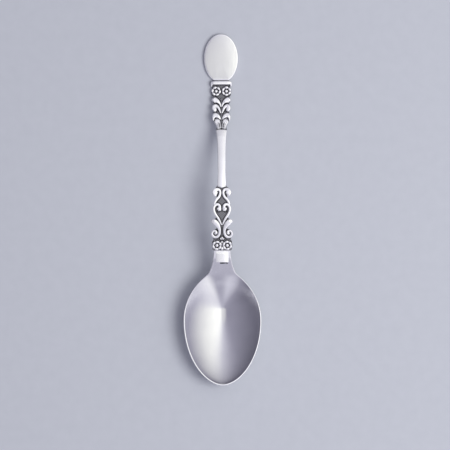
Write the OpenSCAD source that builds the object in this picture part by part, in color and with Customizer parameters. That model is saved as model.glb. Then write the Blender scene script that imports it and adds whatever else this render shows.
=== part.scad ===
// Ornate silver teaspoon, bowl up, lying on the table
// +Y runs from the bowl to the plaque, +X to the right, +Z up, and the table is at z = 0

/* [Bowl] */
// Width of the bowl at its widest
bowl_w = 33.2; // [30:0.1:36]
// Length of the bowl from its widest point to its tip
bowl_tip_len = 27.5; // [24:0.1:31]
// Length of the bowl from its widest point to the neck
bowl_neck_len = 20.6; // [18:0.1:24]
// Depth of the bowl below its rim
bowl_depth = 7.2; // [6:0.1:9]
// Thickness of the bowl's sheet
bowl_t = 1.2; // [0.9:0.05:1.6]
// Width of the flat rim
rim_w = 0.5; // [0.35:0.05:0.7]
// Height of the rim's outer edge
rim_edge = 0.5; // [0.3:0.05:0.7]

/* [Neck] */
// Length of the neck from the bowl to the end of the tongue
neck_len = 4.4; // [3.6:0.1:5.6]
// Width of the neck under the rosette band
neck_w = 7.1; // [6.4:0.1:7.8]
// How far each side of the neck spreads towards the bowl
neck_flare = 1.9; // [1.2:0.1:2.4]
// Length of the neck's strip under the rosette band
lap_len = 3.6; // [2.4:0.1:4.2]
// Length of the tongue's bare panel
tongue_len = 5.1; // [4:0.1:6]
// Width of the tongue
tongue_w = 5.4; // [4.6:0.1:6]
// How much thicker the tongue is at its end
tongue_rise = 0.6; // [0.2:0.05:0.9]

/* [Stem] */
// Thickness of the stem's strip
strip_t = 1.1; // [0.9:0.05:1.4]
// Height of the stem's back above the table at its crest
crest_z = 14.5; // [12:0.1:17]
// Length of the bare shank
shank_len = 25.2; // [20:0.1:32]
// Width of the shank
shank_w = 3.4; // [3:0.1:4]
// How high the rounded shank stands over the strip
shank_rise = 1.0; // [0.7:0.05:1.4]
// How far the shank's rounded back stands out
shank_back = 0.5; // [0.2:0.05:0.8]

/* [Scrolls] */
// Length of the scroll openwork
scroll_len = 21.6; // [20:0.1:24]
// Width across the scrolls
scroll_w = 9.2; // [8.6:0.1:10]
// Width of a scroll's strand
strand_w = 0.95; // [0.8:0.05:1]
// Height of a scroll over the strip
strand_h = 0.55; // [0.4:0.05:0.9]

/* [Rosettes] */
// Length of the lower rosette band
band_len = 4.8; // [4.4:0.1:5.6]
// Width of the lower rosette band's ground
band_w = 8.5; // [8:0.1:9]
// Length of the upper rosette field
field_len = 5.45; // [5:0.05:6.2]
// Diameter of a rosette
rosette_d = 3.9; // [3.6:0.05:4.1]
// Distance between the two rosettes of a pair
rosette_pitch = 4.5; // [4.4:0.05:4.8]
// Width of a rosette's ring of petals
petal_w = 1.0; // [0.8:0.05:1.1]
// Number of petals
petals = 6; // [5:1:8]
// Diameter of a rosette's bead
bead_d = 1.35; // [1:0.05:1.5]

/* [Leaves] */
// Length of the leaf spray
leaf_len = 13.3; // [12.5:0.1:15]
// Width across the leaf spray
leaf_w = 7.8; // [7.4:0.1:8.4]
// Width of a leaf's rib
rib_w = 0.85; // [0.7:0.05:0.9]
// Height of a leaf over the strip
leaf_h = 0.6; // [0.4:0.05:0.9]

/* [Plaque] */
// Length of the oval plaque
plaque_len = 19.95; // [16:0.05:24]
// Width of the oval plaque
plaque_w = 14.7; // [12:0.1:17]
// Thickness of the plaque
plaque_t = 1.7; // [1.3:0.05:2.2]
// Height of the plaque's bevelled edge
plaque_bevel = 0.5; // [0.3:0.05:0.7]
// Width of the flat end where the plaque meets the stem
joint_w = 6.4; // [5.4:0.1:7.4]
// Width of the bare tab between collar and plaque
tab_w = 2.6; // [2:0.1:4]
// Length of the bare tab between collar and plaque
tab_len = 0.5; // [0.3:0.05:0.8]
// Length of the collar bar along the stem
collar_len = 1.6; // [1.2:0.05:2]
// Width of the collar bar
collar_w = 8.7; // [8.2:0.1:9.2]
// Height of the collar bar over the strip
collar_h = 0.9; // [0.7:0.05:1.3]

/* [Hidden] */
// Solder seam between pieces
seam = 0.02;
// Step for measuring the stem's slope
slope_step = 0.01;

// Places along the spoon, from the bowl's tip to the plaque's end
total_len = bowl_tip_len + bowl_neck_len + neck_len + tongue_len + band_len + scroll_len
    + shank_len + leaf_len + field_len + collar_len + tab_len + plaque_len;
y_tip = -total_len / 2;
y_wide = y_tip + bowl_tip_len;
y_bowl = y_wide + bowl_neck_len;
y_tongue = y_bowl + neck_len;
y_band = y_tongue + tongue_len;
y_scroll = y_band + band_len;
y_shank = y_scroll + scroll_len;
y_leaf = y_shank + shank_len;
y_field = y_leaf + leaf_len;
y_collar = y_field + field_len;
y_tab = y_collar + collar_len;
y_plaque = y_tab + tab_len;

// The stem's arch: it lifts from the bowl's deepest place, and its crest lies over the scrolls
crest_share = 0.58;
y_crest = y_scroll + crest_share * scroll_len;
rim_z = bowl_depth + bowl_t;

// The bowl's form: where it is deepest, and how full its ends are
deep_share = 0.24;
y_deep = y_wide + deep_share * bowl_neck_len;
tip_full_share = 0.8;
neck_full_share = 1.6;
lap_end_share = 0.75;
tip_floor_share = 0.5;
blend = 3;

// Half-widths of the strip along each stretch: [place along it, share of its half-width]
band_shares = [[0.02, 0.8], [0.15, 0.9], [0.5, 0.96], [0.85, 0.9], [0.98, 0.8]];
scroll_shares = [
    [0.01, 0.7], [0.03, 0.78], [0.075, 0.9], [0.12, 0.94], [0.165, 0.86], [0.195, 0.57], [0.22, 0.39],
    [0.26, 0.48], [0.305, 0.7], [0.343, 0.87], [0.375, 0.83], [0.4, 0.57], [0.42, 0.48], [0.47, 0.57],
    [0.54, 0.72], [0.6, 0.77], [0.66, 0.73], [0.7, 0.7], [0.73, 0.63], [0.78, 0.48], [0.81, 0.36],
    [0.84, 0.57], [0.87, 0.67], [0.92, 0.71], [0.963, 0.64], [0.99, 0.5]];
shank_shares = [
    [0.015, 1], [0.1, 1], [0.19, 0.9], [0.3, 0.97], [0.83, 1],
    [0.87, 1.12], [0.91, 1.26], [0.95, 1.36], [0.99, 1.36]];
leaf_shares = [
    [0.01, 0.47], [0.065, 0.45], [0.173, 0.62], [0.25, 0.74], [0.32, 0.87], [0.42, 0.9], [0.526, 0.74],
    [0.57, 0.77], [0.647, 0.87], [0.73, 0.92], [0.805, 0.77], [0.85, 0.82], [0.91, 0.92], [0.977, 0.74]];
field_shares = [[0.07, 0.75], [0.2, 0.87], [0.46, 0.95], [0.7, 0.87], [0.86, 0.82], [0.97, 0.95]];
tongue_shares = [[0, 1], [0.2, 1], [0.4, 1], [0.6, 1], [0.8, 1], [0.98, 1]];
collar_shares = [[0.05, 0.94], [0.5, 0.94], [0.95, 0.94]];
tab_shares = [[0.1, 1], [1, 1]];

// The raised shank's section: [share of its half-width, share of its rise] from left to right
crown_shares = [[-1, 0], [-0.85, 0.66], [-0.5, 0.94], [0, 1], [0.5, 0.94], [0.85, 0.66], [1, 0]];
shoulder_share = 1.36;

// The raised shank on the strip: [place along the shank, share of its half-width, share of its rise]
core_shares = [
    [-0.04, 0.08, 0], [-0.03, 0.12, 0.35], [0.005, 0.7, 0.85], [0.02, 0.96, 1], [0.1, 0.96, 1],
    [0.94, 0.96, 1], [0.985, 0.94, 0.9], [0.995, 0.8, 0.3], [1, 0.6, 0]];

// Centre lines of the right-hand pieces: [share of the half-width, share of the length, width in strands]
s_scroll_shares = [
    [0.78, 0.69, 0.6], [0.64, 0.734, 0.95], [0.46, 0.78, 1], [0.27, 0.82, 1], [0.17, 0.866, 0.95],
    [0.135, 0.917, 0.9], [0.195, 0.963, 1], [0.36, 0.984, 1.1], [0.545, 0.965, 1.5], [0.605, 0.919, 2.2],
    [0.58, 0.873, 1.6], [0.52, 0.838, 0.4]];
heart_shares = [
    [0.06, 0.292, 0.5], [0.163, 0.347, 0.7], [0.348, 0.417, 0.95], [0.565, 0.481, 1], [0.707, 0.546, 0.95],
    [0.743, 0.606, 1], [0.641, 0.657, 1], [0.424, 0.681, 1.05], [0.228, 0.66, 1.1], [0.207, 0.618, 1.35],
    [0.26, 0.588, 1.95], [0.305, 0.567, 1.4], [0.33, 0.555, 0.4]];
leaf_scroll_shares = [
    [0.89, 0.356, 0.6], [0.783, 0.354, 1.55], [0.598, 0.329, 2.05], [0.402, 0.285, 1.9], [0.272, 0.227, 1.45],
    [0.217, 0.167, 1.1], [0.261, 0.106, 1.05], [0.424, 0.0625, 1.05], [0.652, 0.051, 1], [0.859, 0.079, 0.95],
    [0.913, 0.127, 0.9], [0.783, 0.169, 0.8], [0.598, 0.166, 0.85], [0.555, 0.132, 1.1], [0.63, 0.114, 0.6]];
bud_shares = [
    [-0.2, 0.016, 0.35], [-0.13, 0.019, 0.9], [-0.065, 0.024, 0.65], [0, 0.031, 1.3], [0.065, 0.024, 0.65],
    [0.13, 0.019, 0.9], [0.2, 0.016, 0.35]];
sprig_shares = [[0, 0.08, 0.4], [0, 0.17, 1.1], [0, 0.27, 0.9], [0, 0.38, 0.3]];
first_leaf_shares = [
    [0.1, 0.692, 0.4], [0.159, 0.759, 1], [0.295, 0.827, 1.55], [0.5, 0.88, 2.1], [0.718, 0.898, 2.6],
    [0.872, 0.895, 2], [0.962, 0.891, 0.6]];
second_leaf_shares = [
    [0.141, 0.534, 0.5], [0.192, 0.609, 0.85], [0.295, 0.684, 0.95], [0.474, 0.741, 1], [0.692, 0.748, 1.25],
    [0.82, 0.699, 1.5], [0.79, 0.643, 1.7], [0.7, 0.6, 0.8]];
third_leaf_shares = [
    [0.155, 0.312, 0.5], [0.23, 0.368, 1], [0.385, 0.423, 1.5], [0.615, 0.451, 2.2], [0.795, 0.405, 1.7],
    [0.872, 0.331, 0.95], [0.859, 0.278, 0.4]];
cup_leaf_shares = [
    [0.256, 0.014, 1.5], [0.3, 0.075, 1.8], [0.38, 0.15, 2.15], [0.47, 0.226, 2.5], [0.54, 0.28, 1.9],
    [0.575, 0.31, 0.6]];
collar_line_shares = [
    [-0.955, -0.4, 0.3], [-0.93, 0.05, 0.5], [-0.8, 0.45, 0.92], [0, 0.5, 1], [0.8, 0.45, 0.92],
    [0.93, 0.05, 0.5], [0.955, -0.4, 0.3]];

// Roundness: points over a strand, places along each span of a curve, points round a rosette, and bowl stations
arc_steps = 5;
span_steps = 3;
rosette_steps = 36;
bowl_steps = 7;
tip_steps = 14;
neck_steps = 20;
oval_steps = 72;
tip_angle = 88;
notch_share = 0.42;
petal_round_share = 0.6;
bead_sink_share = 0.05;
eyelet_share = 0.115;
eyelet_pipe_share = 0.4;
eyelet_place_share = 0.79;
band_middle_share = 0.5;
field_middle_share = 0.46;

silver = "#d8d9de";
dark_silver = "#b9bac2";

// A smooth fall from 1 to 0
function ease(t) = (1 + cos(180 * min(1, max(0, t)))) / 2;

// Height of the stem's back, which is also the front of the bowl's neck
function seat_z(y) =
    y > y_crest
        ? crest_z * ease((y - y_crest) / (y_plaque - y_crest))
        : rim_z + (crest_z - rim_z) * ease((y_crest - y) / (y_crest - y_deep));

function seat_angle(y) = atan2(seat_z(y + slope_step) - seat_z(y - slope_step), 2 * slope_step);

// A point at x, y on the arch, at height h square to it
function on_arch(x, y, h) =
    let (a = seat_angle(y))
    [x, y - h * sin(a), seat_z(y) + h * cos(a)];

// A smooth curve through points that may carry more than two values
function between(a, b, c, d, t) =
    b + t / 2 * (c - a + t * (2 * a - 5 * b + 4 * c - d + t * (3 * (b - c) + d - a)));

function curve(p) = concat(
    [for (i = [0 : len(p) - 2], k = [0 : span_steps - 1])
        between(p[max(i - 1, 0)], p[i], p[i + 1], p[min(i + 2, len(p) - 1)], k / span_steps)],
    [p[len(p) - 1]]);

// Shares of a stretch turned into places: across, along, and the width
function placed(shares, half_w, y0, len_y, unit_w) =
    [for (s = shares) [s[0] * half_w, y0 + s[1] * len_y, s[2] * unit_w]];

// A solid through rings of points, each running left over the top to the right and back underneath
module loft(rings, closed = false) {
    m = len(rings[0]);
    n = len(rings);
    pairs = closed ? n : n - 1;
    sides = [for (i = [0 : pairs - 1], j = [0 : m - 1])
        let (a = i * m, b = (i + 1) % n * m, k = (j + 1) % m)
        each [[a + j, b + j, b + k], [a + j, b + k, a + k]]];
    caps = closed ? [] : [for (j = [0 : m / 2 - 2], end = [0, (n - 1) * m])
        let (q = [end + j, end + j + 1, end + m - 2 - j, end + m - 1 - j])
        each end == 0
            ? [[q[0], q[1], q[2]], [q[0], q[2], q[3]]]
            : [[q[2], q[1], q[0]], [q[3], q[2], q[0]]]];
    polyhedron(points = [for (r = rings) each r], faces = concat(sides, caps));
}

// A half-round strand soldered on the strip along a line of [x, y, width]
module strand(line, unit_w, h, closed = false) {
    n = len(line);
    loft([for (i = [0 : n - 1])
        let (
            next = closed ? line[(i + 1) % n] : line[min(i + 1, n - 1)],
            last = closed ? line[(i + n - 1) % n] : line[max(i - 1, 0)],
            along = [next[0] - last[0], next[1] - last[1]] / norm([next[0] - last[0], next[1] - last[1]]),
            w = line[i][2],
            rise = h * sqrt(min(w / unit_w, 2)))
        [for (k = [0 : arc_steps])
            let (a = 180 * k / arc_steps, out = cos(a) * w / 2)
            on_arch(line[i][0] - along[1] * out, line[i][1] + along[0] * out, strip_t + seam + rise * sin(a))]],
        closed);
}

module scroll_piece(shares) {
    color(silver)
        strand(curve(placed(shares, scroll_w / 2, y_scroll, scroll_len, strand_w)), strand_w, strand_h);
}

module leaf_piece(shares) {
    color(silver)
        strand(curve(placed(shares, leaf_w / 2, y_leaf, leaf_len, rib_w)), rib_w, leaf_h);
}

// Sits its children on the strip, square to it
module on_strip(x, y) {
    translate(on_arch(x, y, strip_t + seam))
        rotate([seat_angle(y), 0, 0])
            children();
}

// A ring of petals, pinched between each petal and the next
module rosette(x, y) {
    middle = (rosette_d - petal_w) / 2;
    color(silver)
        strand([for (k = [0 : rosette_steps - 1])
            let (
                a = -360 * k / rosette_steps,
                lobe = pow(abs(cos(petals * a / 2)), petal_round_share))
            [x + middle * cos(a), y + middle * sin(a), petal_w * (1 - notch_share * (1 - lobe))]],
            petal_w, strand_h, closed = true);
}

// A domed bead with a flat foot
module bead(x, y) {
    color(silver)
        on_strip(x, y)
            difference() {
                translate([0, 0, -bead_sink_share * bead_d])
                    sphere(d = bead_d, $fn = 32);
                translate([-bead_d, -bead_d, -2 * bead_d])
                    cube(2 * bead_d);
            }
}

// Half-width of the bowl's outline, set in by a given amount
function neck_half(y) =
    let (t = max(0, min(1, (y_band - y) / (y_band - y_bowl))))
    y > y_band
        ? neck_w / 2 * (1 - (1 - lap_end_share) * (y - y_band) / lap_len)
        : neck_w / 2 + neck_flare * t * t;

function oval_half(y, inset) =
    let (reach = y < y_wide ? bowl_tip_len - inset : bowl_neck_len)
    (bowl_w / 2 - inset) * sqrt(max(0, 1 - pow((y - y_wide) / reach, 2)));

function bowl_half(y, inset) =
    let (neck = (neck_half(y) - inset) * ease((y_bowl - y) / bowl_neck_len))
    y < y_wide
        ? oval_half(y, inset)
        : pow(pow(oval_half(y, inset), blend) + pow(neck, blend), 1 / blend);

// Depth of the bowl along its middle
function bowl_d(y) =
    y < y_deep
        ? bowl_depth * pow(max(0, 1 - pow((y_deep - y) / (y_deep - y_tip - rim_w), 2)), tip_full_share)
        : bowl_depth * pow(max(0, 1 - pow((y - y_deep) / (y_bowl - y_deep), 2)), neck_full_share);

function hollow(u) = max(0, 1 - u * u);

module bowl() {
    stations = concat(
        [for (k = [tip_steps : -1 : 1]) y_wide - bowl_tip_len * sin(tip_angle * k / tip_steps)],
        [for (k = [0 : neck_steps]) y_wide + k / neck_steps * (y_band + lap_len - y_wide)]);
    color(silver)
        loft([for (y = stations)
            let (
                w = bowl_half(y, 0),
                inner_w = max(bowl_half(y, rim_w), tip_floor_share * w),
                d = bowl_d(y))
            concat(
                [on_arch(-w, y, 0)],
                [for (k = [-bowl_steps : bowl_steps])
                    let (u = sin(90 * k / bowl_steps))
                    on_arch(inner_w * u, y, -d * hollow(u))],
                [on_arch(w, y, 0)],
                [for (k = [bowl_steps + 1 : -1 : -bowl_steps - 1])
                    let (u = sin(90 * k / (bowl_steps + 1)))
                    on_arch(w * u, y, -rim_edge - (d + bowl_t - rim_edge) * hollow(u))])]);
}

// Half-width of the stem's strip along the spoon
function stretch(shares, y0, len_y, half_w) = [for (s = shares) [y0 + s[0] * len_y, s[1] * half_w]];

strip_halves = concat(
    stretch(tongue_shares, y_tongue, tongue_len, tongue_w / 2),
    stretch(band_shares, y_band, band_len, band_w / 2),
    stretch(scroll_shares, y_scroll, scroll_len, scroll_w / 2),
    stretch(shank_shares, y_shank, shank_len, shank_w / 2),
    stretch(leaf_shares, y_leaf, leaf_len, leaf_w / 2),
    stretch(field_shares, y_field, field_len, (rosette_pitch + rosette_d) / 2),
    stretch(collar_shares, y_collar, collar_len, collar_w / 2),
    stretch(tab_shares, y_tab, tab_len, tab_w / 2));
core_halves = [for (s = core_shares) [y_shank + s[0] * shank_len, s[1]]];
core_rises = [for (s = core_shares) [y_shank + s[0] * shank_len, s[2] * shank_rise]];

// The shank's own stations lie closer together than its outline needs, so that the arch stays smooth
shank_stations = [for (share = [0.25 : 0.06 : 0.8]) y_shank + share * shank_len];

function sorted(list) =
    len(list) < 2
        ? list
        : let (p = list[floor(len(list) / 2)])
        concat(sorted([for (v = list) if (v < p) v]), [p], sorted([for (v = list) if (v > p) v]));

module stem() {
    stations = sorted(concat([for (s = strip_halves) s[0]], [for (s = core_halves) s[0]], shank_stations));
    color(dark_silver)
        loft([for (y = stations)
            let (
                w = lookup(y, strip_halves),
                core = lookup(y, core_halves) * min(w, shoulder_share * shank_w / 2),
                rise = lookup(y, core_rises),
                front = strip_t + tongue_rise * max(0, (y_band - y) / tongue_len),
                section = concat([[-w, 0]], [for (s = crown_shares) [s[0] * core, s[1]]], [[w, 0]]),
                last = len(section) - 1)
            concat(
                [for (p = section) on_arch(p[0], y, front + rise * p[1])],
                [for (k = [last : -1 : 0])
                    on_arch(section[k][0], y, -rise / shank_rise * shank_back * section[k][1])])]);
}

module s_scroll_right() { scroll_piece(s_scroll_shares); }
module s_scroll_left() { mirror([1, 0, 0]) s_scroll_right(); }
module heart_scroll_right() { scroll_piece(heart_shares); }
module heart_scroll_left() { mirror([1, 0, 0]) heart_scroll_right(); }
module leaf_scroll_right() { scroll_piece(leaf_scroll_shares); }
module leaf_scroll_left() { mirror([1, 0, 0]) leaf_scroll_right(); }
module bud() { scroll_piece(bud_shares); }

module eyelet() {
    pipe = eyelet_share * band_len * eyelet_pipe_share;
    color(silver)
        on_strip(0, y_band + eyelet_place_share * band_len)
            rotate_extrude($fn = 32)
                translate([eyelet_share * band_len - pipe, 0])
                    intersection() {
                        circle(r = pipe, $fn = 32);
                        translate([-pipe, 0])
                            square(2 * pipe);
                    }
}

module sprig() {
    color(silver)
        strand(curve(placed(sprig_shares, band_w / 2, y_band, band_len, strand_w)), strand_w, strand_h);
}

module lower_rosette_right() { rosette(rosette_pitch / 2, y_band + band_middle_share * band_len); }
module lower_rosette_left() { rosette(-rosette_pitch / 2, y_band + band_middle_share * band_len); }
module lower_beads() {
    for (side = [-1, 1])
        bead(side * rosette_pitch / 2, y_band + band_middle_share * band_len);
}

module cup_leaf_right() { leaf_piece(cup_leaf_shares); }
module cup_leaf_left() { mirror([1, 0, 0]) cup_leaf_right(); }
module third_leaf_right() { leaf_piece(third_leaf_shares); }
module third_leaf_left() { mirror([1, 0, 0]) third_leaf_right(); }
module second_leaf_right() { leaf_piece(second_leaf_shares); }
module second_leaf_left() { mirror([1, 0, 0]) second_leaf_right(); }
module first_leaf_right() { leaf_piece(first_leaf_shares); }
module first_leaf_left() { mirror([1, 0, 0]) first_leaf_right(); }

module upper_rosette_right() { rosette(rosette_pitch / 2, y_field + field_middle_share * field_len); }
module upper_rosette_left() { rosette(-rosette_pitch / 2, y_field + field_middle_share * field_len); }
module upper_beads() {
    for (side = [-1, 1])
        bead(side * rosette_pitch / 2, y_field + field_middle_share * field_len);
}

module collar() {
    color(silver)
        strand(curve(placed(collar_line_shares, collar_w / 2, y_collar, collar_len, collar_len)),
            collar_len, collar_h);
}

// The plaque's oval is cut straight where it meets the stem, and its front edge is bevelled
module plaque() {
    cut = asin(joint_w / plaque_w);
    half_len = plaque_len / (1 + cos(cut));
    oval = [for (k = [0 : oval_steps])
        let (a = -90 + cut + k / oval_steps * (360 - 2 * cut))
        [plaque_w / 2 * cos(a), half_len * sin(a)]];
    color(silver)
        translate([0, y_plaque + seam + half_len * cos(cut), 0]) {
            linear_extrude(plaque_t - plaque_bevel)
                polygon(oval);
            translate([0, 0, plaque_t - plaque_bevel])
                linear_extrude(plaque_bevel, scale = 1 - 2 * plaque_bevel / plaque_w)
                    polygon(oval);
        }
}

bowl();
stem();
s_scroll_left();
s_scroll_right();
heart_scroll_left();
heart_scroll_right();
leaf_scroll_left();
leaf_scroll_right();
bud();
eyelet();
sprig();
lower_rosette_left();
lower_rosette_right();
lower_beads();
cup_leaf_left();
cup_leaf_right();
third_leaf_left();
third_leaf_right();
second_leaf_left();
second_leaf_right();
first_leaf_left();
first_leaf_right();
upper_rosette_left();
upper_rosette_right();
upper_beads();
collar();
plaque();
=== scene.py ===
"""The looks of an ornate silver teaspoon, lying bowl up.

Sizes are in millimetres until a piece is laid in.
"""

import math

import bmesh
import bpy
from mathutils import Matrix, Vector
from mathutils.kdtree import KDTree


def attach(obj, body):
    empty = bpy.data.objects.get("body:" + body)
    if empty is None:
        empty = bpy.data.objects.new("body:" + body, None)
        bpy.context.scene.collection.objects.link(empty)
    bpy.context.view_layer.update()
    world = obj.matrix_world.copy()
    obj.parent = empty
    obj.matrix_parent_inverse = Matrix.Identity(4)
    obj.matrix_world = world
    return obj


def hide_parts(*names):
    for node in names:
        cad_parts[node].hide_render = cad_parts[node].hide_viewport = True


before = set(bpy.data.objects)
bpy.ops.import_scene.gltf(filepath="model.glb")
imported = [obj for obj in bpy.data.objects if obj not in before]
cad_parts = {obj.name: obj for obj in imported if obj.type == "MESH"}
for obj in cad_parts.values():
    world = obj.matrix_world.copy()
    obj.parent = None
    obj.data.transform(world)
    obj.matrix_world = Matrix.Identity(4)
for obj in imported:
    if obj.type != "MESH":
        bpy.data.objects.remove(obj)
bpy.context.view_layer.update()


# The bowl
# Sheet silver raised over a stake to an egg-shaped hollow, with a narrow rim planished and rounded off.
# The same sheet runs on as the neck, on which the stem's strip is lapped and soldered.
bowl_width = 33.2
bowl_depth = 7.2
bowl_sheet = 1.2
rim_width = 0.5
rim_edge = 0.5
y_tip = -75.0
y_wide = -47.5
y_deep = -42.556
y_throat = -26.9
y_tongue = -22.05
y_band = -17.4
y_neck_end = -13.8
y_crest = -0.07
y_plaque = 55.05
rim_height = bowl_depth + bowl_sheet
crest_height = 14.5
neck_width = 7.1
neck_flare = 2.15
neck_end_share = 0.75
tip_length = y_wide - y_tip
throat_length = y_throat - y_wide
# How the outline closes in: towards the neck, and towards the tip
shoulder_bend = 2.2
shoulder_full = 0.7
tip_full = 0.55
# Shares of half the outline: along the neck's end, and from there to the widest place
neck_end_turn = 0.04
side_turn = 0.5
# How the hollow rises: towards the tip, and towards the throat
tip_rise = 0.8
throat_rise = 1.6
slope_step = 0.01
weld_reach = 0.0005


def ease(t):
    """A smooth fall from 1 to 0."""
    return (1 + math.cos(math.pi * min(1, max(0, t)))) / 2


def seat_height(y):
    """Height of the stem's back, which is also the front of the bowl's neck."""
    if y > y_crest:
        return crest_height * ease((y - y_crest) / (y_plaque - y_crest))
    return rim_height + (crest_height - rim_height) * ease((y_crest - y) / (y_crest - y_deep))


def seat_angle(y):
    """Slope of the stem's back at y."""
    return math.atan2(seat_height(y + slope_step) - seat_height(y - slope_step), 2 * slope_step)


def on_arch(x, y, h):
    """A point at x, y on the spoon's arch, at height h square to it."""
    tilt = seat_angle(y)
    return Vector((x, y - h * math.sin(tilt), seat_height(y) + h * math.cos(tilt)))


def spun_skin(rays, rings, place):
    """A closed skin: a spun tube whose points are laid where place(share of the turn, ring) puts them."""
    bm = bmesh.new()
    ring_of = bm.verts.layers.int.new("ring")
    turn_of = bm.verts.layers.float.new("turn")
    line = [bm.verts.new((0, 1, ring)) for ring in range(rings)]
    for low, high in zip(line, line[1:]):
        bm.edges.new((low, high))
    bmesh.ops.spin(bm, geom=bm.verts[:] + bm.edges[:], cent=(0, 0, 0), axis=(0, 0, 1), angle=math.tau,
                   steps=rays, use_merge=True)
    for v in bm.verts:
        turn = round(math.atan2(v.co.x, v.co.y) / math.tau * rays) % rays
        v[ring_of] = round(v.co.z)
        v[turn_of] = turn / rays
        v.co = place(turn / rays, v[ring_of])
    bmesh.ops.remove_doubles(bm, verts=bm.verts[:], dist=weld_reach)
    bmesh.ops.recalc_face_normals(bm, faces=bm.faces[:])
    return bm


def laid_in(bm, name, material):
    """The finished piece in metres, with its place in its mesh."""
    bmesh.ops.scale(bm, vec=(0.001, 0.001, 0.001), verts=bm.verts[:])
    mesh = bpy.data.meshes.new(name)
    bm.to_mesh(mesh)
    bm.free()
    mesh.shade_smooth()
    mesh.materials.append(material)
    piece = bpy.data.objects.new(name, mesh)
    bpy.context.collection.objects.link(piece)
    return piece


# The polish: the size of its clouds, and the size and lean of its scratches, each with the span that shows
cloud_scale = 160
cloud_span = (0.3, 0.7)
scratch_scale = (2600, 160, 400)
scratch_lean = math.radians(12)
scratch_span = (0.35, 0.75)


def polished_silver(name, bright, handled, smoothest, roughest):
    """Polished silver: cloudy where it is handled, with fine wiping scratches along the spoon."""
    material = bpy.data.materials.new(name)
    material.use_nodes = True
    nodes = material.node_tree.nodes
    links = material.node_tree.links
    shader = nodes["Principled BSDF"]
    shader.inputs["Metallic"].default_value = 1.0
    place = nodes.new("ShaderNodeTexCoord")
    cloud = nodes.new("ShaderNodeTexNoise")
    cloud.inputs["Scale"].default_value = cloud_scale
    cloud.inputs["Detail"].default_value = 4
    links.new(place.outputs["Object"], cloud.inputs["Vector"])
    tone = nodes.new("ShaderNodeValToRGB")
    for stop, position, silver in zip(tone.color_ramp.elements, cloud_span, (handled, bright)):
        stop.position = position
        stop.color = silver
    links.new(cloud.outputs["Fac"], tone.inputs["Fac"])
    links.new(tone.outputs["Color"], shader.inputs["Base Color"])
    stretch = nodes.new("ShaderNodeMapping")
    stretch.inputs["Scale"].default_value = scratch_scale
    stretch.inputs["Rotation"].default_value = (0, 0, scratch_lean)
    links.new(place.outputs["Object"], stretch.inputs["Vector"])
    scratch = nodes.new("ShaderNodeTexNoise")
    scratch.inputs["Scale"].default_value = 1
    scratch.inputs["Detail"].default_value = 3
    links.new(stretch.outputs["Vector"], scratch.inputs["Vector"])
    polish = nodes.new("ShaderNodeMapRange")
    polish.inputs["From Min"].default_value = scratch_span[0]
    polish.inputs["From Max"].default_value = scratch_span[1]
    polish.inputs["To Min"].default_value = smoothest
    polish.inputs["To Max"].default_value = roughest
    links.new(scratch.outputs["Fac"], polish.inputs["Value"])
    links.new(polish.outputs["Result"], shader.inputs["Roughness"])
    return material


def neck_half(y):
    """Half-width of the neck, which flares towards the bowl and narrows under the stem."""
    if y > y_band:
        return neck_width / 2 * (1 - (1 - neck_end_share) * (y - y_band) / (y_neck_end - y_band))
    return neck_width / 2 + neck_flare * ((y_band - y) / (y_band - y_throat)) ** 2


def bowl_half(y, inset):
    """Half-width of the bowl and its neck at y, set in by a given amount."""
    reach = max(0, y - y_wide) / throat_length
    oval = (bowl_width / 2 - inset) * max(0, 1 - reach ** shoulder_bend) ** shoulder_full
    neck = (neck_half(max(y, y_throat)) - inset) * ease((y_throat - y) / throat_length)
    return math.hypot(oval, neck)


def bowl_outline(turn, inset):
    """A point of the outline, from the neck's end round by the right side and the tip."""
    side = 1 if turn < 0.5 else -1
    share = 2 * (turn if turn < 0.5 else 1 - turn)
    if share < neck_end_turn:
        return side * share / neck_end_turn * bowl_half(y_neck_end, inset), y_neck_end
    if share < side_turn:
        y = y_neck_end + (share - neck_end_turn) / (side_turn - neck_end_turn) * (y_wide - y_neck_end)
        return side * bowl_half(y, inset), y
    angle = (share - side_turn) / (1 - side_turn) * math.pi / 2
    x = (bowl_width / 2 - inset) * max(0, math.cos(angle)) ** (2 * tip_full)
    return side * x, y_wide - (tip_length - inset) * math.sin(angle)


def half_at(y, inset):
    """Half-width of the whole outline at y, from the neck to the tip."""
    if y > y_wide:
        return bowl_half(y, inset)
    reach = tip_length - inset
    return (bowl_width / 2 - inset) * max(0, 1 - ((y_wide - y) / reach) ** 2) ** tip_full


def depth_at(y):
    """Depth of the hollow on the centre line at y."""
    if y < y_deep:
        t = (y_deep - y) / (y_deep - y_tip - rim_width)
        return bowl_depth * max(0, 1 - t * t) ** tip_rise
    t = (y - y_deep) / (y_throat - y_deep)
    return bowl_depth * max(0, 1 - t * t) ** throat_rise


def hollow(across):
    """Share of the depth at a share of the half-width."""
    return max(0, 1 - across * across)


bowl_rays = 240
inner_rings = 56
outer_rings = 40
ring_spread = 1.25
underside_share = 0.992
# The rim, from the hollow's edge over to the underside: how far in from the outline, and how far down
rim_profile = ((0.3, 0.0), (0.16, 0.02), (0.05, 0.1), (0.0, 0.24), (0.05, 0.42))


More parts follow.
